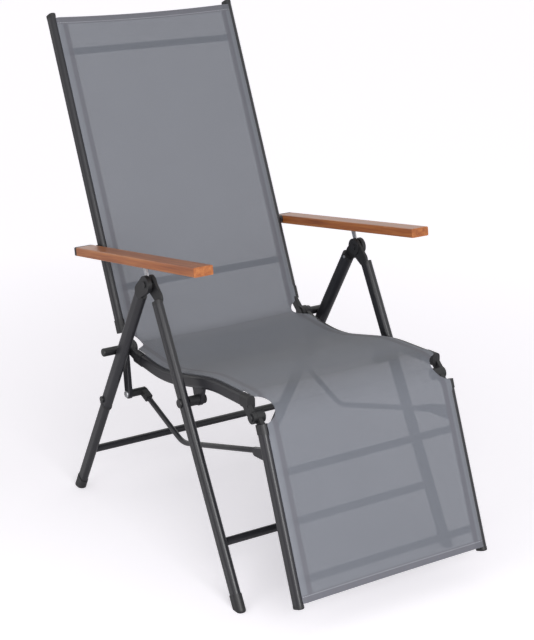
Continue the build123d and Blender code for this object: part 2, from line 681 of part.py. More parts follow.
def foot(line, direction, depth, width, wall):
    """Moulded foot over the leg end, rounded and worn flat where it meets the floor."""
    floor_at = floor_distance(line, direction)
    outer = flat_oval(depth + FOOT_WALL + FOOT_WALL, width + FOOT_WALL + FOOT_WALL)
    body = leg_span(line, direction, floor_at - FOOT_LENGTH, floor_at + FOOT_SINK, outer)
    lower_face = body.faces().sort_by(Axis((0, 0, 0), (0, *direction)))[-1]
    body = fillet(lower_face.edges(), FOOT_ROUND)
    tube_end = floor_at - FOOT_PLUG_GAP
    body -= leg_span(line, direction, floor_at - FOOT_LENGTH, tube_end, flat_oval_tube(depth, width, wall))
    body -= leg_span(line, direction, floor_at - FOOT_LENGTH - FOOT_LENGTH, floor_at - FOOT_LENGTH, outer)
    below = Box(LEG_PLANE, LEG_PLANE, LEG_PLANE, align=(Align.CENTER, Align.CENTER, Align.MAX))
    foot_y = step(line, direction, floor_at)[0]
    return largest(body - Pos(LEG_PLANE, foot_y, 0) * below)


def front_foot():
    return foot(FRONT_LEG_LINE, DOWN_FRONT_LEG, FRONT_LEG_DEPTH, FRONT_LEG_WIDTH, LEG_WALL)


def rear_foot():
    return foot(REAR_LEG_LINE, DOWN_REAR_LEG, LOWER_LEG_DEPTH, LOWER_LEG_WIDTH, LEG_WALL)


def hinge_end(line, direction, depth, width, wall, disc_x, disc_end_x, bore):
    """Hinge disc, its neck and the block and plug that close the leg's upper end."""
    block = leg_span(line, direction, HINGE_BLOCK_START, HINGE_BLOCK_START + HINGE_BLOCK_LENGTH,
                     flat_oval(depth, width))
    plug_section = flat_oval(depth - wall - wall - PLUG_GAP, width - wall - wall - PLUG_GAP)
    plug = leg_span(line, direction, HINGE_BLOCK_START, HINGE_BLOCK_START + HINGE_PLUG_LENGTH, plug_section)
    tube_start = HINGE_BLOCK_START + HINGE_BLOCK_LENGTH
    neck_end = step(line, direction, tube_start - HINGE_NECK_RADIUS)
    neck_inner = max(disc_x, LEG_PLANE - width / 2)
    neck_outer = min(disc_end_x, LEG_PLANE + width / 2)
    neck_outline = tapered_link(TOP_HINGE, HINGE_DISC_RADIUS, neck_end, HINGE_NECK_RADIUS)
    neck = plate(neck_outline, neck_inner, neck_outer)
    whole = block + plug + neck + pin(TOP_HINGE, HINGE_DISC_RADIUS, disc_x, disc_end_x)
    tube = flat_oval_tube(depth, width, wall)
    whole -= leg_span(line, direction, tube_start, tube_start + HINGE_PLUG_LENGTH, tube)
    return whole - pin(TOP_HINGE, bore, RAIL_PLANE, AXLE_END_X)


def front_hinge():
    return hinge_end(FRONT_LEG_LINE, DOWN_FRONT_LEG, FRONT_LEG_DEPTH, FRONT_LEG_WIDTH, LEG_WALL,
                     FRONT_DISC_X, FRONT_DISC_END_X, HINGE_PIN_RADIUS)


def rear_hinge():
    return hinge_end(REAR_LEG_LINE, DOWN_REAR_LEG, SLEEVE_DEPTH, SLEEVE_WIDTH, SLEEVE_WALL,
                     REAR_DISC_X, REAR_DISC_END_X, HINGE_PIN_RADIUS + TURN_CLEARANCE)


def top_hinge_pin():
    shank = pin(TOP_HINGE, HINGE_PIN_RADIUS, FRONT_DISC_X, REAR_DISC_END_X + HEAD_GAP)
    inner = pin(TOP_HINGE, HINGE_PIN_HEAD_RADIUS, FRONT_DISC_X - HINGE_PIN_HEAD_THICKNESS, FRONT_DISC_X)
    outer_x = REAR_DISC_END_X + HEAD_GAP
    outer = pin(TOP_HINGE, HINGE_PIN_HEAD_RADIUS, outer_x, outer_x + HINGE_PIN_HEAD_THICKNESS)
    return shank + inner + outer


def hinge_rivet():
    spot = step(REAR_LEG_LINE, DOWN_REAR_LEG, HINGE_RIVET_AT)
    face = LEG_PLANE - SLEEVE_WIDTH / 2
    return pin(spot, HINGE_RIVET_RADIUS, face - HINGE_RIVET_THICKNESS, face)


def catch_link():
    """Flat silver link on the top hinge whose cross pin engages the armrest rack."""
    tip = step(TOP_HINGE, heading(LINK_ANGLE), LINK_LENGTH)
    strip_end = step(TOP_HINGE, heading(LINK_ANGLE), LINK_LENGTH - LINK_STRIP_RADIUS)
    strip = plate(round_link(TOP_HINGE, strip_end, LINK_STRIP_RADIUS), LINK_X, LINK_X + LINK_THICKNESS)
    eye = pin(TOP_HINGE, LINK_RADIUS, LINK_X, LINK_X + LINK_THICKNESS)
    pin_x = ARM_INNER_X + (ARM_WIDTH - CATCH_PIN_LENGTH) / 2
    whole = strip + eye + pin(tip, CATCH_PIN_RADIUS, pin_x, pin_x + CATCH_PIN_LENGTH)
    return whole - pin(TOP_HINGE, HINGE_PIN_RADIUS + TURN_CLEARANCE, LINK_X - SIDE_GAP, REAR_DISC_X)


def seat_pivot_bolt():
    face = LEG_PLANE + FRONT_LEG_WIDTH / 2
    head = round_head(SEAT_PIVOT, PIVOT_HEAD_RADIUS, face, face + PIVOT_HEAD_THICKNESS, HEAD_ROUND)
    return head + pin(SEAT_PIVOT, PIVOT_BOLT_RADIUS, SPACER_X + SPACER_FLOOR + SIDE_GAP, face)


def seat_spacer():
    """Black spacer barrel between the seat bracket and the front leg."""
    end = LEG_PLANE - FRONT_LEG_WIDTH / 2 - SPACER_GAP
    barrel = pin(SEAT_PIVOT, SPACER_RADIUS, SPACER_X, end)
    barrel = fillet(barrel.faces().sort_by(Axis.X)[0].edges(), SPACER_ROUND)
    return barrel - pin(SEAT_PIVOT, PIVOT_BOLT_RADIUS + TURN_CLEARANCE, SPACER_X + SPACER_FLOOR, end)


def seat_bracket():
    """Ear under the seat rail, pressed onto the spacer barrel."""
    top_line = step(SEAT_PIVOT, (0, 1), EAR_BASE_RISE)
    rail_slope = heading(angle_between(SEAT_POINTS[1], SEAT_POINTS[2]))
    rear_top = step(top_line, rail_slope, -EAR_BASE_SPREAD / 2)
    front_top = step(top_line, rail_slope, EAR_BASE_SPREAD / 2)
    corners = disc(rear_top, EAR_BASE_RADIUS) + disc(front_top, EAR_BASE_RADIUS)
    outline = make_hull((corners + disc(SEAT_PIVOT, EAR_RADIUS)).edges())
    ear = plate(outline, EAR_X, EAR_X + EAR_THICKNESS)
    ear -= along_seat(flat_oval(RAIL_DEPTH, RAIL_WIDTH), RAIL_PLANE)
    return largest(ear - pin(SEAT_PIVOT, SPACER_RADIUS, RAIL_INNER_X, LEG_PLANE))


def end_cap(point, outward):
    """Moulded cap that closes a rail end, a little proud of the rail all round."""
    lip = END_CAP_LIP + END_CAP_LIP
    cap = straight(flat_oval(RAIL_DEPTH + lip, RAIL_WIDTH + lip), point, outward, RAIL_PLANE, END_CAP_LENGTH)
    top = cap.faces().sort_by(Axis((0, 0, 0), (0, *outward)))[-1]
    return fillet(top.edges(), END_CAP_ROUND)


def sling_section(half_width, flat_x, rise):
    """Section of the sling: level at both edges, sagging a little between them."""
    upper = rise + SLING_THICKNESS / 2
    lower = rise - SLING_THICKNESS / 2
    outline = Polyline((-flat_x, upper), (-half_width, upper), (-half_width, lower), (-flat_x, lower))
    outline += ThreePointArc((-flat_x, lower), (0, lower - SLING_SAG), (flat_x, lower))
    outline += Polyline((flat_x, lower), (half_width, lower), (half_width, upper), (flat_x, upper))
    outline += ThreePointArc((flat_x, upper), (0, upper - SLING_SAG), (-flat_x, upper))
    return make_face(outline)


def welted_section():
    """Sling section with the round welts that sit in the rail grooves."""
    welt_x = RAIL_PLANE - GROOVE_INSET
    welts = Pos(welt_x, GROOVE_RISE) * Circle(WELT_RADIUS) + Pos(-welt_x, GROOVE_RISE) * Circle(WELT_RADIUS)
    return sling_section(welt_x, SLING_FLAT_X, GROOVE_RISE) + welts


def back_sling():
    start = step(BACK_RAIL_TOP, DOWN_BACK, BACK_SLING_TOP_INSET)
    length = BACK_RAIL_LENGTH - BACK_SLING_TOP_INSET - CUP_LENGTH - SLING_CUP_GAP
    return straight(welted_section(), start, DOWN_BACK, 0, length)


def seat_sling_limits():
    rear = SEAT_POINTS[0][0] - CUP_LENGTH - SLING_CUP_GAP
    front = SEAT_POINTS[-1][0] + CUP_LENGTH + SLING_CUP_GAP
    return rear, front


def seat_sling():
    rear, front = seat_sling_limits()
    whole = along_seat(welted_section(), 0)
    keep = Pos(0, (rear + front) / 2, SEAT_LOW_Z) * Box(AXLE_END_X + AXLE_END_X, rear - front, AXLE_END_X)
    return largest(whole & keep)


def footrest_sling():
    start = step(FOOTREST_RAIL_TOP, DOWN_FOOTREST, FOOTREST_CUP_LENGTH + SLING_CUP_GAP)
    length = FOOTREST_RAIL_LENGTH - FOOTREST_CUP_LENGTH - SLING_CUP_GAP - FOOTREST_SLING_END_INSET
    return straight(welted_section(), start, DOWN_FOOTREST, 0, length)


def crossing(point, direction, other_point, other_direction):
    """The side point where two side lines meet."""
    gap = (other_point[0] - point[0], other_point[1] - point[1])
    bottom = direction[0] * other_direction[1] - direction[1] * other_direction[0]
    amount = (gap[0] * other_direction[1] - gap[1] * other_direction[0]) / bottom
    return step(point, direction, amount)


def sling_strip(first, first_direction, last, last_direction, radius, pivot, scallop_x, scallop_radius):
    """Unframed strip of sling round a hinge, scalloped at both edges beside the knuckles."""
    corner = crossing(first, first_direction, last, last_direction)
    path = Plane.YZ * FilletPolyline(first, corner, last, radius=radius)
    section = cross_plane(first, first_direction, 0) * sling_section(STRIP_HALF_WIDTH, SLING_FLAT_X, 0)
    strip = sweep(section, path=path)
    outward = heading(angle_between(pivot, corner))
    axis_plane = Plane(origin=(scallop_x, *pivot), z_dir=(0, *outward))
    scallop = extrude(axis_plane * Circle(scallop_radius), amount=SCALLOP_REACH, both=True)
    return largest(strip - scallop - other_side(scallop))


def hip_sling():
    back_end = step(BACK_RAIL_FOOT, UP_BACK, CUP_LENGTH + SLING_CUP_GAP - STRIP_GAP)
    first = step(back_end, sitter_side(DOWN_BACK), GROOVE_RISE)
    rear = SEAT_POINTS[0][0] - CUP_LENGTH - SLING_CUP_GAP + STRIP_GAP
    along = (SEAT_POINTS[0][0] - rear) / -SEAT_REAR_HEADING[0]
    seat_end = step(SEAT_POINTS[0], SEAT_REAR_HEADING, along)
    last = step(seat_end, sitter_side(SEAT_REAR_HEADING), GROOVE_RISE)
    return sling_strip(first, DOWN_BACK, last, SEAT_REAR_HEADING, HIP_CREASE_RADIUS, HIP,
                       HIP_SCALLOP_X, HIP_SCALLOP_RADIUS)


def knee_sling():
    reach = CUP_LENGTH + SLING_CUP_GAP - STRIP_GAP
    seat_end = step(SEAT_POINTS[-1], SEAT_FRONT_HEADING, -reach)
    first = step(seat_end, sitter_side(SEAT_FRONT_HEADING), GROOVE_RISE)
    foot_end = step(FOOTREST_RAIL_TOP, DOWN_FOOTREST, FOOTREST_CUP_LENGTH + SLING_CUP_GAP - STRIP_GAP)
    last = step(foot_end, sitter_side(DOWN_FOOTREST), GROOVE_RISE)
    return sling_strip(first, SEAT_FRONT_HEADING, last, DOWN_FOOTREST, KNEE_FOLD_RADIUS, KNEE,
                       KNEE_SCALLOP_X, KNEE_SCALLOP_RADIUS)


PAIRS = {
    "front_leg": front_leg, "rear_sleeve": rear_sleeve, "rear_leg": rear_leg,
    "seat_rail": seat_rail, "seat_hip_knuckle": seat_hip_knuckle,
    "back_rail": back_rail, "back_hip_knuckle": back_hip_knuckle,
    "armrest": armrest, "footrest_rail": footrest_rail,
    "recline_lever": recline_lever, "link_rod": link_rod,
}

TWINS = {
    "front_feet": front_foot, "rear_feet": rear_foot,
    "front_hinges": front_hinge, "rear_hinges": rear_hinge, "catch_links": catch_link,
    "seat_knee_knuckles": seat_knee_knuckle, "footrest_knuckles": footrest_knuckle,
    "seat_pivot_bolts": seat_pivot_bolt, "top_hinge_pins": top_hinge_pin,
    "hinge_rivets": hinge_rivet, "rear_joint_bolts": rear_joint_bolt,
    "rear_joint_collars": rear_joint_collar, "seat_brackets": seat_bracket,
    "seat_spacers": seat_spacer, "hip_bushes": hip_bush, "stub_axles": stub_axle,
    "lever_rivets": lever_rivet, "rod_forks": rod_fork, "rod_brackets": rod_bracket,
    "knee_pins": knee_pin, "arm_pivot_bolts": arm_pivot_bolt,
    "arm_end_caps": arm_end_cap, "notch_racks": notch_rack,
}

SINGLES = {
    "back_sling": back_sling, "seat_sling": seat_sling, "footrest_sling": footrest_sling,
    "hip_sling": hip_sling, "knee_sling": knee_sling,
}

for name, make in PAIRS.items():
    save_pair(make(), name)
for name, make in TWINS.items():
    save(both_sides(make()), name)
for name, make in SINGLES.items():
    save(make(), name)

save(crossbar(BACK_RAIL_TOP, DOWN_BACK, BACK_UPPER_BAR_FROM_TOP), "back_upper_crossbar")
save(crossbar(BACK_LINE, DOWN_BACK, -BACK_LOWER_BAR_AT), "back_lower_crossbar")
save(crossbar(FOOTREST_LINE, DOWN_FOOTREST, FOOTREST_UPPER_BAR_AT), "footrest_upper_crossbar")
save(crossbar(FOOTREST_RAIL_FOOT, DOWN_FOOTREST, -FOOTREST_LOWER_BAR_FROM_END), "footrest_lower_crossbar")
save(leg_crossbar(FRONT_LEG_LINE, DOWN_FRONT_LEG, FRONT_BAR_AT, LEG_PLANE - FRONT_LEG_WIDTH / 2),
     "front_crossbar")
save(leg_crossbar(REAR_LEG_LINE, DOWN_REAR_LEG, REAR_BAR_AT, LEG_PLANE - LOWER_LEG_WIDTH / 2),
     "rear_crossbar")
save(both_sides(end_cap(BACK_RAIL_TOP, UP_BACK)), "back_end_caps")
save(both_sides(end_cap(FOOTREST_RAIL_FOOT, DOWN_FOOTREST)), "footrest_end_caps")
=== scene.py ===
# %% [markdown]
# A reclining garden armchair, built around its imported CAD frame.
# The tubes, hinges, levers, armrests and fasteners come from CAD and only get their finishes here, so they
# still fit each other. The sling is cloth, so it is modelled here as five panels that join without a
# visible seam.
# Every number is in metres, in the frame that the CAD uses: the chair faces -Y and stands on z = 0.

# %% load the frame
import json
import math

import bpy
import numpy as np
from mathutils import Matrix, Vector


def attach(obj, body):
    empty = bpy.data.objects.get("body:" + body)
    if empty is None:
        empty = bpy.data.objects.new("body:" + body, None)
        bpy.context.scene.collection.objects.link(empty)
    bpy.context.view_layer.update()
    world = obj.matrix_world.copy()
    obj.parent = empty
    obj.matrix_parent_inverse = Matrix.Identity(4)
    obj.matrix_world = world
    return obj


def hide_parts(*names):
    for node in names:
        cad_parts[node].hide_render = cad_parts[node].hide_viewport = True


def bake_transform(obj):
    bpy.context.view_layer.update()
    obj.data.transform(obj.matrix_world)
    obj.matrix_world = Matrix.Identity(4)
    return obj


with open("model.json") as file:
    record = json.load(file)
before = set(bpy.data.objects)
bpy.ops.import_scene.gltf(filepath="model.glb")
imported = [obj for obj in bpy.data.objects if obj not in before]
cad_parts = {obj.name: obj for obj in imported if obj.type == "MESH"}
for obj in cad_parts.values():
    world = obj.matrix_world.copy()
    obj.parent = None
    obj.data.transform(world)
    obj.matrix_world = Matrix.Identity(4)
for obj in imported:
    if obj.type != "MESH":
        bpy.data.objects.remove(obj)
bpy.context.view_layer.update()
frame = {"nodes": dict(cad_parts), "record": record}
nodes = frame["nodes"]
print("nodes in the frame:", len(nodes))

# %% [markdown]
# Colours are written as sRGB hex, the way a colour picker shows them. Shaders work in linear light, so one
# function turns every hex value to linear.
# A material is a tree of nodes. One function adds any node with its settings and links, which keeps each
# material down to a few readable lines.

# %% colour and node helpers
MM = 0.001


def linear(hex_colour):
    """sRGB hex to linear RGBA: c / 12.92 below 0.04045, else ((c + 0.055) / 1.055) to the power 2.4."""
    values = [int(hex_colour[i:i + 2], 16) / 255 for i in (1, 3, 5)]
    straight = [v / 12.92 if v <= 0.04045 else ((v + 0.055) / 1.055) ** 2.4 for v in values]
    return (*straight, 1.0)


def add(tree, kind, *values, settings=None, stops=(), **sockets):
    """Adds one shader node with its settings and links.

    Values go to the inputs in order and sockets by name, with _ for a space. Each is a plain value, or
    another node's output, which is linked. Stops are a colour ramp's (position, hex) pairs."""
    node = tree.nodes.new(kind)
    for name, value in (settings or {}).items():
        setattr(node, name, value)
    named = [(name.replace("_", " "), value) for name, value in sockets.items()]
    for key, value in [*enumerate(values), *named]:
        if isinstance(value, bpy.types.NodeSocket):
            tree.links.new(value, node.inputs[key])
        else:
            node.inputs[key].default_value = value
    if stops:
        points = node.color_ramp.elements
        for point, (position, colour) in zip(points, (stops[0], stops[-1])):
            point.position, point.color = position, linear(colour)
        for position, colour in stops[1:-1]:
            points.new(position).color = linear(colour)
    return node


def new_material(name):
    """An empty material and its node tree."""
    material = bpy.data.materials.new(name)
    material.use_nodes = True
    material.node_tree.nodes.clear()
    return material, material.node_tree


print("helpers ready")

# %% [markdown]
# The camera stands where the photograph was taken from: in front of the chair, to its right-hand side, and
# about half a metre above the top of its back. Its place and turn were solved from the chair's own straight
# and equal parts. A lens length and a sensor height give the same field of view as the picture's 640 pixel
# height.

# %% camera
CAMERA_PLACE = Vector((-1.7782, -2.79306, 1.5879))
CAMERA_TURN = math.radians(-32.81)
CAMERA_RISE = math.radians(18.46)
FOCAL_PIXELS = 1561.2
PICTURE_HEIGHT = 640
SENSOR_HEIGHT = 24.0

camera_data = bpy.data.cameras.new("photo_camera")
camera_data.sensor_fit = "VERTICAL"
camera_data.sensor_height = SENSOR_HEIGHT
camera_data.lens = FOCAL_PIXELS / PICTURE_HEIGHT * SENSOR_HEIGHT
camera = bpy.data.objects.new("photo_camera", camera_data)
bpy.context.scene.collection.objects.link(camera)
backward = Vector((math.sin(CAMERA_TURN) * math.cos(CAMERA_RISE),
                   -math.cos(CAMERA_TURN) * math.cos(CAMERA_RISE), math.sin(CAMERA_RISE)))
rightward = Vector((math.cos(CAMERA_TURN), math.sin(CAMERA_TURN), 0))
turning = Matrix((rightward, backward.cross(rightward), backward)).transposed()
camera.matrix_world = Matrix.Translation(CAMERA_PLACE) @ turning.to_4x4()
bpy.context.scene.camera = camera
print("lens mm", round(camera_data.lens, 2))

# %% [markdown]
# The studio is a pale floor under an even white sky. The floor keeps the chair's soft shadow. What the
# camera sees of the floor gets a little extra white, more of it further from the chair, so that it reads as
# a paper backdrop. Brighter lamps would do that too, but would also wash out the chair. The light that the
# floor gives to the chair isn't changed by the extra white.

# %% studio floor
FLOOR_SIZE = 30.0
FLOOR_DROP = 0.2 * MM
PAPER_BY_CHAIR, PAPER_FAR = 0.38, 0.56
PAPER_RISES_FROM, PAPER_RISES_TO = 0.7, 2.4

floor_material, tree = new_material("matt white studio floor")
from_middle = add(tree, "ShaderNodeVectorMath", add(tree, "ShaderNodeTexCoord").outputs["Object"],
                  settings={"operation": "LENGTH"})
white = add(tree, "ShaderNodeMapRange", Value=from_middle.outputs["Value"], From_Min=PAPER_RISES_FROM,
            From_Max=PAPER_RISES_TO, To_Min=PAPER_BY_CHAIR, To_Max=PAPER_FAR)
camera_sees = add(tree, "ShaderNodeLightPath").outputs["Is Camera Ray"]
paper = add(tree, "ShaderNodeMath", camera_sees, white.outputs[0], settings={"operation": "MULTIPLY"})
shader = add(tree, "ShaderNodeBsdfPrincipled", Base_Color=linear("#F4F2F6"), Roughness=0.9,
             Emission_Color=linear("#FDFAFF"), Emission_Strength=paper.outputs[0])
add(tree, "ShaderNodeOutputMaterial", Surface=shader.outputs["BSDF"])

half = FLOOR_SIZE / 2
floor_corners = [(x, y, -FLOOR_DROP) for x, y in ((-half, -half), (half, -half), (half, half), (-half, half))]
floor_mesh = bpy.data.meshes.new("studio_floor")
floor_mesh.from_pydata(floor_corners, [], [(0, 1, 2, 3)])
floor_mesh.materials.append(floor_material)
studio_floor = bpy.data.objects.new("studio_floor", floor_mesh)
bpy.context.scene.collection.objects.link(studio_floor)
print("floor metres:", FLOOR_SIZE)

# %% [markdown]
# The sky lights the chair evenly from all sides. It is shown to the camera, and to rays that a glossy or
# clear surface sends on, at full white, so that metal reflects the same background that the picture has.

# %% sky
SKY_LIGHT = 0.46

world = bpy.data.worlds.new("even white sky")
world.use_nodes = True
sky = world.node_tree
sky.nodes.clear()
ray = add(sky, "ShaderNodeLightPath").outputs
shown = add(sky, "ShaderNodeMath", ray["Is Camera Ray"], ray["Is Glossy Ray"],
            settings={"operation": "MAXIMUM"})
shown = add(sky, "ShaderNodeMath", shown.outputs[0], ray["Is Transmission Ray"],
            settings={"operation": "MAXIMUM"})
strength = add(sky, "ShaderNodeMapRange", Value=shown.outputs[0], To_Min=SKY_LIGHT, To_Max=1.0)
background = add(sky, "ShaderNodeBackground", Color=(1, 1, 1, 1), Strength=strength.outputs[0])
add(sky, "ShaderNodeOutputWorld", Surface=background.outputs[0])
bpy.context.scene.world = world
print("sky light on the chair:", SKY_LIGHT)

# %% [markdown]
# One large soft lamp stands in front of the chair. It is low, because surfaces that face forwards are the
# brightest ones on this chair. A small weak one on the near side lifts that side out of the dark.

# %% lamps
def soft_lamp(name, place, aim, size, power):
    """A square area lamp turned to look at a point."""
    data = bpy.data.lights.new(name, "AREA")
    data.size = size
    data.energy = power
    lamp = bpy.data.objects.new(name, data)
    lamp.location = place
    lamp.rotation_euler = (Vector(aim) - Vector(place)).to_track_quat("-Z", "Y").to_euler()
    bpy.context.scene.collection.objects.link(lamp)


soft_lamp("key_softbox", place=(-1.2, -3.4, 1.5), aim=(0, 0, 0.5), size=2.0, power=92)
soft_lamp("side_softbox", place=(-1.7, -0.7, 0.9), aim=(-0.2, 0, 0.6), size=0.9, power=5)
bpy.context.scene.view_settings.view_transform = "Standard"
print("lamps ready")

# %% [markdown]
# The frame is aluminium tube with a powder coat: a plastic powder baked on. It is satin and dark anthracite,
# with a very fine orange-peel texture. The colour drifts a little at the size of a hand, and the peel makes
# the shine uneven. Noise on Object coordinates gives both, and needs no UV map. The black bolts are steel
# with a slightly darker paint, made in the same way.

# %% powder coat and black paint
COAT_DRIFT_PER_METRE = 9.0  # patches about 110 mm wide
PEEL_PER_METRE = 700.0  # dimples about 1.4 mm wide
PEEL_STRENGTH, PEEL_DEPTH = 0.12, 0.4 * MM
SHINIEST, DULLEST = -0.05, 0.07


def powder_coat(name, dark, pale, roughness):
    """A satin coat whose colour drifts from dark to pale and whose roughness follows the peel."""
    material, tree = new_material(name)
    place = add(tree, "ShaderNodeTexCoord").outputs["Object"]
    drift = add(tree, "ShaderNodeTexNoise", Vector=place, Scale=COAT_DRIFT_PER_METRE, Detail=3.0)
    colour = add(tree, "ShaderNodeValToRGB", drift.outputs["Fac"], stops=[(0.3, dark), (0.7, pale)])
    peel = add(tree, "ShaderNodeTexNoise", Vector=place, Scale=PEEL_PER_METRE, Detail=2.0).outputs["Fac"]
    bump = add(tree, "ShaderNodeBump", Height=peel, Strength=PEEL_STRENGTH, Distance=PEEL_DEPTH)
    shine = add(tree, "ShaderNodeMapRange", Value=peel, To_Min=roughness + SHINIEST, To_Max=roughness + DULLEST)
    shader = add(tree, "ShaderNodeBsdfPrincipled", Base_Color=colour.outputs["Color"],
                 Normal=bump.outputs["Normal"], Roughness=shine.outputs[0], IOR=1.5)
    add(tree, "ShaderNodeOutputMaterial", Surface=shader.outputs["BSDF"])
    return material


anthracite = powder_coat("anthracite powder coat", "#1B1B1F", "#232328", 0.33)
black_paint = powder_coat("black painted steel", "#161618", "#1E1E21", 0.34)
print("coats:", anthracite.name, "and", black_paint.name)

# %% [markdown]
# The knuckles, feet and caps are moulded nylon: near black, a little duller than the tubes, with a fine
# grain that the spark-eroded mould leaves. A noise bump at the grain's size gives that soft dull look.

# %% moulded nylon
GRAIN_PER_METRE = 1400.0  # grain about 0.7 mm wide
TONE_PER_METRE = 25.0  # patches about 40 mm wide
GRAIN_STRENGTH, GRAIN_DEPTH = 0.2, 0.3 * MM

moulded, tree = new_material("moulded black nylon")
place = add(tree, "ShaderNodeTexCoord").outputs["Object"]
grain = add(tree, "ShaderNodeTexNoise", Vector=place, Scale=GRAIN_PER_METRE, Detail=2.0)
tone = add(tree, "ShaderNodeTexNoise", Vector=place, Scale=TONE_PER_METRE, Detail=2.0)
colour = add(tree, "ShaderNodeValToRGB", tone.outputs["Fac"], stops=[(0.3, "#131315"), (0.7, "#1A1A1D")])
bump = add(tree, "ShaderNodeBump", Height=grain.outputs["Fac"], Strength=GRAIN_STRENGTH, Distance=GRAIN_DEPTH)
shader = add(tree, "ShaderNodeBsdfPrincipled", Base_Color=colour.outputs["Color"],
             Normal=bump.outputs["Normal"], Roughness=0.5, IOR=1.53)
add(tree, "ShaderNodeOutputMaterial", Surface=shader.outputs["BSDF"])
print("plastic:", moulded.name)

# %% [markdown]
# Rivets, pins and catch links are zinc-plated steel: a bright grey metal with a soft, slightly cloudy shine.
# One noise clouds both the colour and the roughness, as the plating does.

# %% zinc plate
CLOUD_PER_METRE = 180.0  # clouds about 6 mm wide
PLATE_SHINIEST, PLATE_DULLEST = 0.28, 0.42

zinc, tree = new_material("zinc-plated steel")
place = add(tree, "ShaderNodeTexCoord").outputs["Object"]
cloud = add(tree, "ShaderNodeTexNoise", Vector=place, Scale=CLOUD_PER_METRE, Detail=4.0).outputs["Fac"]
colour = add(tree, "ShaderNodeValToRGB", cloud, stops=[(0.3, "#B9BABD"), (0.7, "#DEDFE2")])
shine = add(tree, "ShaderNodeMapRange", Value=cloud, To_Min=PLATE_SHINIEST, To_Max=PLATE_DULLEST)
bare = add(tree, "ShaderNodeBsdfPrincipled", Base_Color=colour.outputs["Color"], Roughness=shine.outputs[0],
           Metallic=1.0)
add(tree, "ShaderNodeOutputMaterial", Surface=bare.outputs["BSDF"])
print("metal:", zinc.name)

# %% [markdown]
# The armrests are orange-brown wood with straight grain along their length, under a thin satin varnish that
# turns their tops paler where they are seen at a low angle. The pattern is read in coordinates turned by
# the armrest's slope, squeezed across the grain and stretched along it, which draws noise out into streaks.

# %% armrest wood
ARM_SLOPE = math.radians(9.0)
STREAKS_PER_METRE = (120.0, 4.5, 120.0)  # streaks about 8 mm wide and 220 mm long
PORES_PER_METRE = (700.0, 14.0, 700.0)  # pores about 1.4 mm wide and 70 mm long
PORE_SHARE = 0.3
WOOD_STRENGTH, WOOD_DEPTH = 0.25, 0.6 * MM

wood, tree = new_material("varnished straight-grained wood")
place = add(tree, "ShaderNodeTexCoord").outputs["Object"]
along = add(tree, "ShaderNodeMapping", Vector=place, Rotation=(ARM_SLOPE, 0, 0)).outputs[0]
wide = add(tree, "ShaderNodeMapping", Vector=along, Scale=STREAKS_PER_METRE)
fine = add(tree, "ShaderNodeMapping", Vector=along, Scale=PORES_PER_METRE)
streak = add(tree, "ShaderNodeTexNoise", Vector=wide.outputs[0], Scale=1.0, Detail=5.0, Roughness=0.6)
pore = add(tree, "ShaderNodeTexNoise", Vector=fine.outputs[0], Scale=1.0, Detail=3.0)
both = add(tree, "ShaderNodeMix", settings={"data_type": "FLOAT"}, Factor=PORE_SHARE, A=streak.outputs["Fac"],
           B=pore.outputs["Fac"]).outputs["Result"]
colour = add(tree, "ShaderNodeValToRGB", both,
             stops=[(0.3, "#6E381A"), (0.45, "#9A5629"), (0.58, "#AF6B38"), (0.75, "#C0824B")])
bump = add(tree, "ShaderNodeBump", Height=both, Strength=WOOD_STRENGTH, Distance=WOOD_DEPTH)
shader = add(tree, "ShaderNodeBsdfPrincipled", Base_Color=colour.outputs["Color"],
             Normal=bump.outputs["Normal"], Roughness=0.42, IOR=1.46, Coat_Weight=0.35, Coat_Roughness=0.3)
add(tree, "ShaderNodeOutputMaterial", Surface=shader.outputs["BSDF"])
print("wood:", wood.name)

# %% [markdown]
# Each knee pin has a black painted head on the outside of the chair and a bare zinc nut on the inside.
# It is one piece, so its finish changes with the distance from the chair's middle.

# %% knee pin, black head and zinc nut
PIN_PAINT_FROM = 240 * MM

knee_steel = zinc.copy()
knee_steel.name = "zinc-plated pin with a painted head"
tree = knee_steel.node_tree
bare = next(node for node in tree.nodes if node.type == "BSDF_PRINCIPLED")
place = add(tree, "ShaderNodeTexCoord").outputs["Object"]
across = add(tree, "ShaderNodeMath", add(tree, "ShaderNodeSeparateXYZ", place).outputs["X"],
             settings={"operation": "ABSOLUTE"})
painted = add(tree, "ShaderNodeMath", across.outputs[0], PIN_PAINT_FROM, settings={"operation": "GREATER_THAN"})
paint = add(tree, "ShaderNodeBsdfPrincipled", Base_Color=linear("#1A1A1D"), Roughness=0.4)
pin = add(tree, "ShaderNodeMixShader", painted.outputs[0], bare.outputs["BSDF"], paint.outputs["BSDF"])
output = next(node for node in tree.nodes if node.type == "OUTPUT_MATERIAL")
tree.links.new(pin.outputs[0], output.inputs["Surface"])
print("pins are painted beyond mm:", round(PIN_PAINT_FROM / MM))

# %% [markdown]
# The record names a material slot for each CAD node, and each slot gets one finish. The arm pivot bolts and
# knee pins look unlike the rest of their slot, so they are named here on their own. The sling's nodes get
# none, because cloth panels stand for them further down.

# %% give the CAD nodes their finishes
FINISHES = {
    "frame": anthracite,
    "fittings": moulded,
    "steel": zinc,
    "armrest": wood,
    "black_bolts": black_paint,
}
PIECE_FINISHES = {"knee_pins": knee_steel, "arm_pivot_bolts": black_paint}

slots = {entry["node"]: entry["material_slot"] for entry in frame["record"]["subparts"]}
for node_name, node in nodes.items():
    finish = PIECE_FINISHES.get(node_name) or FINISHES.get(slots[node_name])
    if finish:
        for material_slot in node.material_slots:
            material_slot.material = finish
print("finished nodes:", sum(slots[name] in FINISHES for name in nodes))

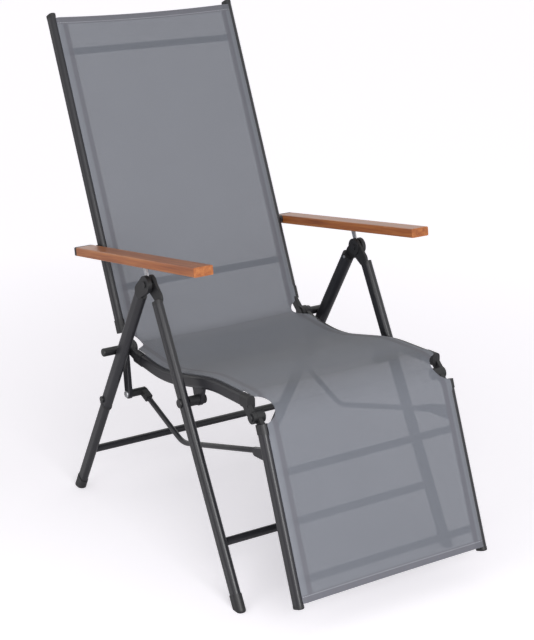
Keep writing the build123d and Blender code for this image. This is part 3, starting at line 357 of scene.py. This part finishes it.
# %% [markdown]
# The sling's side view is one line from the top of the back to the foot of the footrest. It could be drawn
# by hand as a curve, but it has to lie just over the front faces of the rails, so it is worked out from the
# lines that the CAD gives the rails. It dips into the crease at the hip and turns over the knee.
# The side-view points below are (y, z) in the CAD's drawing, which the frame moves along Y to its own middle.

# %% where the rails run
CENTRING_Y = -2.457 * MM
HIP = np.array([172.0, 413.0]) * MM + [CENTRING_Y, 0]
KNEE = np.array([-351.0, 420.0]) * MM + [CENTRING_Y, 0]
SEAT_LINE = np.array([[138.0, 400.6], [10.0, 392.0], [-190.0, 440.0], [-335.0, 446.0]]) * MM + [CENTRING_Y, 0]
BACK_LEAN = math.radians(24.25)
FOOTREST_LEAN = math.radians(21.55)
BACK_RAIL_SETBACK = 26.3 * MM
FOOTREST_RAIL_SETOUT = 21.4 * MM
BACK_START, BACK_END = 41.4 * MM, 778.4 * MM
FOOT_START, FOOT_END = 19.2 * MM, 380.8 * MM
RAIL_TO_SLING = 16.4 * MM
SLING_TOP_INSET = 5 * MM
SLING_FOOT_INSET = 2.5 * MM


def unit(vector):
    """The vector divided by its length."""
    return np.asarray(vector, float) / np.linalg.norm(vector)


def front_normal(direction):
    """The side direction square to a run that goes from head to foot, on the sitter's side."""
    return np.array([direction[1], -direction[0]])


def meet(a, da, b, db):
    """Where the lines a + s da and b + t db cross: s is (b - a) cross db, divided by da cross db."""
    gap = b - a
    amount = (gap[0] * db[1] - gap[1] * db[0]) / (da[0] * db[1] - da[1] * db[0])
    return a + da * amount


down_back = -np.array([math.sin(BACK_LEAN), math.cos(BACK_LEAN)])
down_foot = -np.array([math.sin(FOOTREST_LEAN), math.cos(FOOTREST_LEAN)])
back_point = HIP - front_normal(down_back) * BACK_RAIL_SETBACK + front_normal(down_back) * RAIL_TO_SLING
foot_point = KNEE + front_normal(down_foot) * FOOTREST_RAIL_SETOUT + front_normal(down_foot) * RAIL_TO_SLING
seat_runs = [unit(SEAT_LINE[i + 1] - SEAT_LINE[i]) for i in range(3)]
seat_points = [SEAT_LINE[0] + front_normal(seat_runs[0]) * RAIL_TO_SLING]
for i in (1, 2):
    before = SEAT_LINE[i] + front_normal(seat_runs[i - 1]) * RAIL_TO_SLING
    after = SEAT_LINE[i] + front_normal(seat_runs[i]) * RAIL_TO_SLING
    seat_points.append(meet(before, seat_runs[i - 1], after, seat_runs[i]))
seat_points.append(SEAT_LINE[3] + front_normal(seat_runs[2]) * RAIL_TO_SLING)
sling_top = back_point - down_back * (BACK_END - SLING_TOP_INSET)
sling_foot = foot_point + down_foot * (FOOT_END - SLING_FOOT_INSET)
corners = [sling_top, meet(back_point, down_back, seat_points[0], seat_runs[0]), seat_points[1], seat_points[2],
           meet(seat_points[3], seat_runs[2], foot_point, down_foot), sling_foot]
print("corners mm:", [tuple(int(round(value / MM)) for value in corner) for corner in corners])

# %% [markdown]
# Cloth under tension doesn't turn sharply, so the corners are rounded: small at the hip, where the cloth
# dips behind the sitter, wide over the curve of the seat, and medium over the knee.

# %% the sling's line, seen from the side
HIP_RADIUS = 32 * MM
SEAT_RADIUS = 400 * MM
KNEE_RADIUS = 90 * MM
ROW_SPACING = 5 * MM
FEWEST_IN_RUN, FEWEST_IN_ARC = 2, 6


def rounded_line(points, corner_radii, spacing):
    """Straight runs with circular corners, sampled evenly.

    Each corner of turn angle t and radius r is cut back by r tan(t / 2) on both sides and joined by an arc.
    Returns the points and their distances along the line."""
    pieces = []
    starts = points[0]
    for i in range(1, len(points) - 1):
        into, out = unit(points[i] - points[i - 1]), unit(points[i + 1] - points[i])
        turn = math.atan2(into[0] * out[1] - into[1] * out[0], into @ out)
        cut = corner_radii[i] * math.tan(abs(turn) / 2)
        first, last = points[i] - into * cut, points[i] + out * cut
        steps = max(FEWEST_IN_RUN, int(np.linalg.norm(first - starts) / spacing))
        pieces.append(starts + np.outer(np.arange(steps) / steps, first - starts))
        side = np.array([-into[1], into[0]]) * math.copysign(1, turn)
        centre = first + side * corner_radii[i]
        steps = max(FEWEST_IN_ARC, int(abs(turn) * corner_radii[i] / spacing))
        angles = np.arange(steps) / steps * turn
        spoke = first - centre
        pieces.append(centre + np.stack([spoke[0] * np.cos(angles) - spoke[1] * np.sin(angles),
                                         spoke[0] * np.sin(angles) + spoke[1] * np.cos(angles)], 1))
        starts = last
    steps = max(FEWEST_IN_RUN, int(np.linalg.norm(points[-1] - starts) / spacing))
    pieces.append(starts + np.outer(np.arange(steps + 1) / steps, points[-1] - starts))
    line = np.concatenate(pieces)
    lengths = np.concatenate([[0], np.cumsum(np.linalg.norm(np.diff(line, axis=0), axis=1))])
    return line, lengths


radii = [0, HIP_RADIUS, SEAT_RADIUS, SEAT_RADIUS, KNEE_RADIUS, 0]
line, length_along = rounded_line(corners, radii, ROW_SPACING)
tangent = np.gradient(line, length_along, axis=0)
tangent /= np.linalg.norm(tangent, axis=1)[:, None]
normal = np.stack([tangent[:, 1], -tangent[:, 0]], 1)
sling_length = float(length_along[-1])


def nearest_length(point):
    """The distance along the line of its point that is nearest to a given one."""
    return length_along[np.argmin(np.linalg.norm(line - point, axis=1))]


hip_middle = nearest_length(HIP)
knee_middle = nearest_length(KNEE)
print("sling length mm:", round(sling_length / MM), "rows:", len(line))
for name, hinge in (("hip", HIP), ("knee", KNEE)):
    print("from the", name, "axis mm:", round(float(np.linalg.norm(line - hinge, axis=1).min()) / MM, 1))

# %% [markdown]
# The sling is a coarse mesh woven from coated yarn. An image of a weave would need a file, so two sine waves
# at the thread spacing make the check, and stretched noise makes the yarn uneven. The threads are too fine
# for this picture and show only close up.
# The panels carry a UV map in metres: u runs across the chair and v down the sling, so the weave follows the
# cloth round its bends.

# %% mesh fabric, its weave
THREAD_SPACING = 1.25 * MM
CLOTH_DRIFT_PER_METRE = 6.0  # patches about 170 mm wide
SLUBS_PER_METRE = (900.0, 25.0, 1.0)  # thick spots about 1.1 mm wide and 40 mm long
SLUB_SHARE = 0.35
TONE_BETWEEN_THREADS = 0.5


def wave(tree, coordinate, spacing):
    """0 to 1 bumps along one coordinate: (1 + sin(2 pi x / spacing)) / 2."""
    turn = add(tree, "ShaderNodeMath", coordinate, 2 * math.pi / spacing, settings={"operation": "MULTIPLY"})
    sine = add(tree, "ShaderNodeMath", turn.outputs[0], settings={"operation": "SINE"})
    bumps = add(tree, "ShaderNodeMath", sine.outputs[0], 0.5, 0.5, settings={"operation": "MULTIPLY_ADD"})
    return bumps.outputs[0]


mesh_fabric, tree = new_material("woven coated-yarn mesh")
uv = add(tree, "ShaderNodeUVMap", settings={"uv_map": "cloth"}).outputs["UV"]
parts = add(tree, "ShaderNodeSeparateXYZ", uv)
across, down = parts.outputs["X"], parts.outputs["Y"]
weave = add(tree, "ShaderNodeMath", wave(tree, across, THREAD_SPACING), wave(tree, down, THREAD_SPACING),
            settings={"operation": "MULTIPLY"}).outputs[0]
drift = add(tree, "ShaderNodeTexNoise", Vector=uv, Scale=CLOTH_DRIFT_PER_METRE, Detail=3.0)
drawn_out = add(tree, "ShaderNodeMapping", Vector=uv, Scale=SLUBS_PER_METRE)
slub = add(tree, "ShaderNodeTexNoise", Vector=drawn_out.outputs[0], Scale=1.0, Detail=2.0)
uneven = add(tree, "ShaderNodeMix", settings={"data_type": "FLOAT"}, Factor=SLUB_SHARE, A=drift.outputs["Fac"],
             B=slub.outputs["Fac"]).outputs["Result"]
tone = add(tree, "ShaderNodeMath", uneven, weave, TONE_BETWEEN_THREADS, settings={"operation": "MULTIPLY_ADD"})
field_colour = add(tree, "ShaderNodeValToRGB", tone.outputs[0], stops=[(0.2, "#656870"), (0.9, "#81858E")])
print("thread spacing mm:", THREAD_SPACING / MM)

# %% [markdown]
# The side edges are doubled over the welt, which shows as a darker strip, and the two ends are turned over
# and stitched. Past the strip the outermost edge is painted paler: a painted highlight where the cloth rolls
# onto the rail and faces the light. Masks that are 0 in the field and 1 past a distance place all of these
# without more meshes.

# %% mesh fabric, its hems and stitches
SIDE_HEM_FROM, SIDE_HEM_STRIP_TO = 206 * MM, 218 * MM
END_HEM = 16 * MM
HEM_BORDER, STRIP_BORDER = 0.8 * MM, 2 * MM
# The paler edge colour is a painted highlight of the light on the cloth's rolled edge, not a colour of the
# cloth.
STRIP_COLOUR, ROLLED_EDGE_HIGHLIGHT_COLOUR, STITCH_COLOUR = "#6C6D75", "#7A7D85", "#A5A7AE"
STITCH_FROM_HEM = 3 * MM
STITCH_WIDTH = 1.5 * MM
STITCH_SPACING = 4.5 * MM
STITCH_LEVEL, STITCH_LEVEL_BORDER = 0.3, 0.1


def beyond(tree, coordinate, limit, border):
    """0 before a limit and 1 past it, with a soft step from limit - border to limit + border."""
    return add(tree, "ShaderNodeMapRange", Value=coordinate, From_Min=limit - border,
               From_Max=limit + border).outputs[0]


side = add(tree, "ShaderNodeMath", across, settings={"operation": "ABSOLUTE"}).outputs[0]
from_middle = add(tree, "ShaderNodeMath", down, sling_length / 2, settings={"operation": "SUBTRACT"})
along = add(tree, "ShaderNodeMath", from_middle.outputs[0], settings={"operation": "ABSOLUTE"}).outputs[0]
end_hem_from = sling_length / 2 - END_HEM
end_hem = beyond(tree, along, end_hem_from, HEM_BORDER)
hem = add(tree, "ShaderNodeMath", beyond(tree, side, SIDE_HEM_FROM, HEM_BORDER), end_hem,
          settings={"operation": "MAXIMUM"}).outputs[0]
# Past the strip the edge is painted paler, a painted highlight where the rolled edge faces the light.
on_painted_edge_highlight = beyond(tree, side, SIDE_HEM_STRIP_TO, STRIP_BORDER)
hem_strip_and_highlight = add(tree, "ShaderNodeMix", settings={"data_type": "RGBA"}, Factor=on_painted_edge_highlight,
            A=linear(STRIP_COLOUR), B=linear(ROLLED_EDGE_HIGHLIGHT_COLOUR))
hem_colour = add(tree, "ShaderNodeMix", settings={"data_type": "RGBA"}, Factor=end_hem,
                 A=hem_strip_and_highlight.outputs["Result"], B=linear(STRIP_COLOUR))
tint = add(tree, "ShaderNodeMix", settings={"data_type": "RGBA"}, Factor=hem, A=field_colour.outputs["Color"],
           B=hem_colour.outputs["Result"])
seam = add(tree, "ShaderNodeMath", along, end_hem_from + STITCH_FROM_HEM, STITCH_WIDTH / 2,
           settings={"operation": "COMPARE"})
dashes = beyond(tree, wave(tree, across, STITCH_SPACING), STITCH_LEVEL, STITCH_LEVEL_BORDER)
stitches = add(tree, "ShaderNodeMath", seam.outputs[0], dashes, settings={"operation": "MULTIPLY"})
sewn = add(tree, "ShaderNodeMix", settings={"data_type": "RGBA"}, Factor=stitches.outputs[0],
           A=tint.outputs["Result"], B=linear(STITCH_COLOUR))
print("hems mm: side", round((SIDE_HEM_STRIP_TO - SIDE_HEM_FROM) / MM), "end", round(END_HEM / MM))

# %% [markdown]
# A little light passes between the threads, which is why the dark tubes behind show as faint bands. Each
# panel is a shell with two skins, so each skin lets the square root of that share through. The seat is seen
# at a low angle, where the threads close the gaps between them, so it lets less through than the back and
# the footrest. Alpha alone gives that, and real holes would need millions of faces.

# %% mesh fabric, its shine and the light it lets through
FIELD_THROUGH, SEAT_THROUGH, HEM_THROUGH = 0.068, 0.008, 0.015
SEAT_AFTER_HIP, SEAT_BORDER_AT_HIP = 20 * MM, 40 * MM
SEAT_BEFORE_KNEE, SEAT_BORDER_AT_KNEE = 80 * MM, 45 * MM
WEAVE_STRENGTH, WEAVE_DEPTH = 0.35, 0.5 * MM


def skin_alpha(through):
    """Alpha of one of two skins: 1 minus the square root of the light that passes both."""
    return 1.0 - math.sqrt(through)


past_hip = beyond(tree, down, hip_middle + SEAT_AFTER_HIP, SEAT_BORDER_AT_HIP)
at_knee = beyond(tree, down, knee_middle - SEAT_BEFORE_KNEE, SEAT_BORDER_AT_KNEE)
on_seat = add(tree, "ShaderNodeMath", past_hip, at_knee, settings={"operation": "SUBTRACT"})
field_alpha = add(tree, "ShaderNodeMapRange", Value=on_seat.outputs[0], To_Min=skin_alpha(FIELD_THROUGH),
                  To_Max=skin_alpha(SEAT_THROUGH))
alpha = add(tree, "ShaderNodeMix", settings={"data_type": "FLOAT"}, Factor=hem, A=field_alpha.outputs[0],
            B=skin_alpha(HEM_THROUGH))
bump = add(tree, "ShaderNodeBump", Height=weave, Strength=WEAVE_STRENGTH, Distance=WEAVE_DEPTH)
cloth = add(tree, "ShaderNodeBsdfPrincipled", Base_Color=sewn.outputs["Result"], Normal=bump.outputs["Normal"],
            Alpha=alpha.outputs["Result"], Roughness=0.72, IOR=1.45, Sheen_Weight=0.12)
add(tree, "ShaderNodeOutputMaterial", Surface=cloth.outputs["BSDF"])
print("alpha of one skin in the field:", round(skin_alpha(FIELD_THROUGH), 3))

# %% [markdown]
# Across the chair the sling is nearly flat, with a shallow sag in the middle. Its edges come down onto the
# rails' front faces, and are cut away in a scallop round each hip and knee knuckle. Over the knuckles' cups
# the edge stays level, because a drop there would sink it into them.

# %% width of the cloth, and where it lies on a rail
EDGE = 231 * MM
HIP_SCALLOP, HIP_SCALLOP_X = 30 * MM, 236 * MM
KNEE_SCALLOP, KNEE_SCALLOP_X = 34 * MM, 234 * MM
CUP, FOOT_CUP = 27 * MM, 18 * MM
RAIL_BORDER = 3 * MM

back_cup_end = nearest_length(back_point - down_back * (BACK_START + CUP))
seat_rear_end = nearest_length(seat_points[0] + seat_runs[0] * CUP)
seat_front_end = nearest_length(seat_points[3] - seat_runs[2] * CUP)
foot_cup_end = nearest_length(foot_point + down_foot * (FOOT_START + FOOT_CUP))


def half_width(along_line):
    """Half width of the cloth at a distance along the line.

    Each scallop takes a circular bite: scallop x minus the square root of (radius squared minus
    distance squared)."""
    width = np.full_like(along_line, EDGE)
    for middle, radius, centre_x in ((hip_middle, HIP_SCALLOP, HIP_SCALLOP_X),
                                     (knee_middle, KNEE_SCALLOP, KNEE_SCALLOP_X)):
        reach = radius ** 2 - (along_line - middle) ** 2
        bite = centre_x - np.sqrt(np.clip(reach, 0, None))
        width = np.where(reach > 0, np.minimum(width, bite), width)
    return width


def on_rail(along_line):
    """1 where the cloth lies on a rail and 0 where it crosses the cups and hinges.

    Between them it rises with the distance from the cup divided by the border."""
    share = np.ones_like(along_line)
    for first, last in ((back_cup_end, seat_rear_end), (seat_front_end, foot_cup_end)):
        outside = np.maximum(first - along_line, along_line - last)
        share = np.minimum(share, np.clip(outside / RAIL_BORDER, 0, 1))
    return share


joints_at = np.array([hip_middle, knee_middle])
print("half width mm at the hip and the knee:", np.round(half_width(joints_at) / MM, 1))

# %% [markdown]
# Each panel is a closed thin shell: an upper and a lower surface joined along all four borders. A single
# sheet with a Solidify modifier would do too, but here the hems are thicker than the field, and worked-out
# surfaces meet their neighbours point for point.

# %% the two surfaces of a panel
CLOTH, HEM_CLOTH = 1.2 * MM, 1.6 * MM
SAG, FLAT_EDGE = 4 * MM, 218 * MM
EDGE_DROP, EDGE_DROP_FROM = 3 * MM, 225 * MM
TOP_EDGE_DIP, TOP_EDGE_DIP_REACH = 4 * MM, 120 * MM
FIELD_SHARE, FIELD_COLUMNS = 0.86, 26
EDGE_SHARES = [0.872, 0.88, 0.9, 0.93, 0.96, 0.975, 0.985, 0.993, 1.0]
HEM_FROM_SHARE = 0.873
ROW_CLEARANCE = 0.1 * MM

half_columns = np.concatenate([np.linspace(0, FIELD_SHARE, FIELD_COLUMNS), EDGE_SHARES])
columns = np.concatenate([-half_columns[:0:-1], half_columns])


def panel_surfaces(start, end, top_hem, foot_hem):
    """The upper and lower surface of a panel between two distances along the line.

    A point at (u, v) is line(v) + normal(v) * lift(x) with x = u * half width(v). The lift is
    -sag * (1 - (x / flat edge) squared) inside the flat edge, less the drop onto the rail at the outer edge,
    and plus or minus half the cloth's thickness, which is greater in the hems. In the panel with the top hem
    the point also slips down the line by dip * (1 - v / dip reach) * (1 - u squared)."""
    inside = (length_along > start + ROW_CLEARANCE) & (length_along < end - ROW_CLEARANCE)
    rows = np.concatenate([[start], length_along[inside], [end]])
    centre, up, along = (np.stack([np.interp(rows, length_along, values[:, k]) for k in (0, 1)], 1)
                         for values in (line, normal, tangent))
    up /= np.linalg.norm(up, axis=1)[:, None]
    x = columns[None, :] * half_width(rows)[:, None]
    lift = -SAG * (1 - np.clip(np.abs(x) / FLAT_EDGE, 0, 1) ** 2)
    past_drop = np.clip((np.abs(x) - EDGE_DROP_FROM) / (EDGE - EDGE_DROP_FROM), 0, 1)
    lift -= EDGE_DROP * on_rail(rows)[:, None] * past_drop
    thick = np.where(np.abs(columns)[None, :] > HEM_FROM_SHARE, HEM_CLOTH, CLOTH) * np.ones_like(x)
    slip = np.zeros_like(x)
    if top_hem:
        thick[rows < start + END_HEM] = HEM_CLOTH
        fade = np.clip(1 - rows / TOP_EDGE_DIP_REACH, 0, 1)
        slip = TOP_EDGE_DIP * fade[:, None] * (1 - columns[None, :] ** 2)
    if foot_hem:
        thick[rows > end - END_HEM] = HEM_CLOTH
    grids = []
    for move in (thick / 2, -thick / 2):
        rise = lift + move
        grids.append(np.stack([x, centre[:, None, 0] + up[:, None, 0] * rise + along[:, None, 0] * slip,
                               centre[:, None, 1] + up[:, None, 1] * rise + along[:, None, 1] * slip], -1))
    return rows, x, grids


print("columns across a panel:", len(columns))

# %% [markdown]
# A mesh is a list of points and a list of faces that name them. A face looks towards the side from which its
# points run anticlockwise, so the lower surface lists them the other way round and the whole shell looks
# outwards.

# %% the faces of a panel
def panel_faces(grid_shape):
    """Quads that close two grids into one shell.

    Each cell of the upper grid is a quad, each cell of the lower one is the same quad turned over, and a
    ring of quads joins their borders. Also returns the points of both borders."""
    count = grid_shape[0] * grid_shape[1]
    upper = np.arange(count).reshape(grid_shape)
    lower = upper + count
    top = np.stack([upper[:-1, :-1], upper[1:, :-1], upper[1:, 1:], upper[:-1, 1:]], -1).reshape(-1, 4)
    bottom = np.stack([lower[:-1, :-1], lower[:-1, 1:], lower[1:, 1:], lower[1:, :-1]], -1).reshape(-1, 4)
    ring = np.concatenate([upper[:, 0], upper[-1, 1:], upper[-2::-1, -1], upper[0, -2:0:-1]])
    below = ring + count
    border = np.stack([ring, below, np.roll(below, -1), np.roll(ring, -1)], -1)
    return np.concatenate([top, bottom, border]), ring, below


print("faces of a panel of 3 by 3 points:", len(panel_faces((3, 3))[0]))

# %% [markdown]
# A panel's mesh gets its UV map in metres, smooth shading over its surfaces and a sharp edge round its rims,
# so that the cloth's cut edge stays crisp.

# %% one panel as a piece
def panel(name, start, end, top_hem=False, foot_hem=False):
    """One cloth panel: the piece, its flat width and length, and its flat area.

    The UV is (x, v), the distances across the chair and along the line. The area is the mean width times
    the length."""
    rows, x, grids = panel_surfaces(start, end, top_hem, foot_hem)
    faces, ring, below = panel_faces(x.shape)
    mesh = bpy.data.meshes.new(name)
    mesh.from_pydata(np.concatenate([grid.reshape(-1, 3) for grid in grids]).tolist(), [], faces.tolist())
    flat = np.stack([x, np.broadcast_to(rows[:, None], x.shape)], -1).reshape(-1, 2)
    flat = np.concatenate([flat, flat])
    loops = np.empty(len(mesh.loops), dtype=np.int32)
    mesh.loops.foreach_get("vertex_index", loops)
    mesh.uv_layers.new(name="cloth").data.foreach_set("uv", flat[loops].ravel().astype(np.float32))
    mesh.polygons.foreach_set("use_smooth", np.ones(len(mesh.polygons), dtype=bool))
    ends = np.empty(len(mesh.edges) * 2, dtype=np.int32)
    mesh.edges.foreach_get("vertices", ends)
    ends = ends.reshape(-1, 2)
    rim = np.isin(ends, ring).all(1) | np.isin(ends, below).all(1)
    mesh.attributes.new("sharp_edge", "BOOLEAN", "EDGE").data.foreach_set("value", rim)
    mesh.materials.append(mesh_fabric)
    piece = bpy.data.objects.new(name, mesh)
    bpy.context.scene.collection.objects.link(piece)
    widths = 2 * half_width(rows)
    print(name, "flat mm:", round(widths.mean() / MM), "x", round((end - start) / MM))
    return piece, (float(widths.max()), float(end - start)), float(widths.mean() * (end - start))


# %% [markdown]
# The real sling is one cloth. Here it is five panels: three that lie over the back, the seat and the
# footrest, and two strips between them that nothing frames. The seat panel is attached to the seat's body
# and the other four stay where they are built. The panels meet on the hinges' own lines.


back_panel, back_flat, back_area = panel("sling_back", 0.0, hip_middle, top_hem=True)
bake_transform(back_panel)
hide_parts("back_sling")

hip_panel, hip_flat, hip_area = panel("sling_hip", hip_middle, seat_rear_end)
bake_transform(hip_panel)
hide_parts("hip_sling")

seat_panel, seat_flat, seat_area = panel("sling_seat", seat_rear_end, seat_front_end)
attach(seat_panel, "seat")
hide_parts("seat_sling")

knee_panel, knee_flat, knee_area = panel("sling_knee", seat_front_end, knee_middle)
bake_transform(knee_panel)
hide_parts("knee_sling")

foot_panel, foot_flat, foot_area = panel("sling_footrest", knee_middle, sling_length, foot_hem=True)
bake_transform(foot_panel)
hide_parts("footrest_sling")
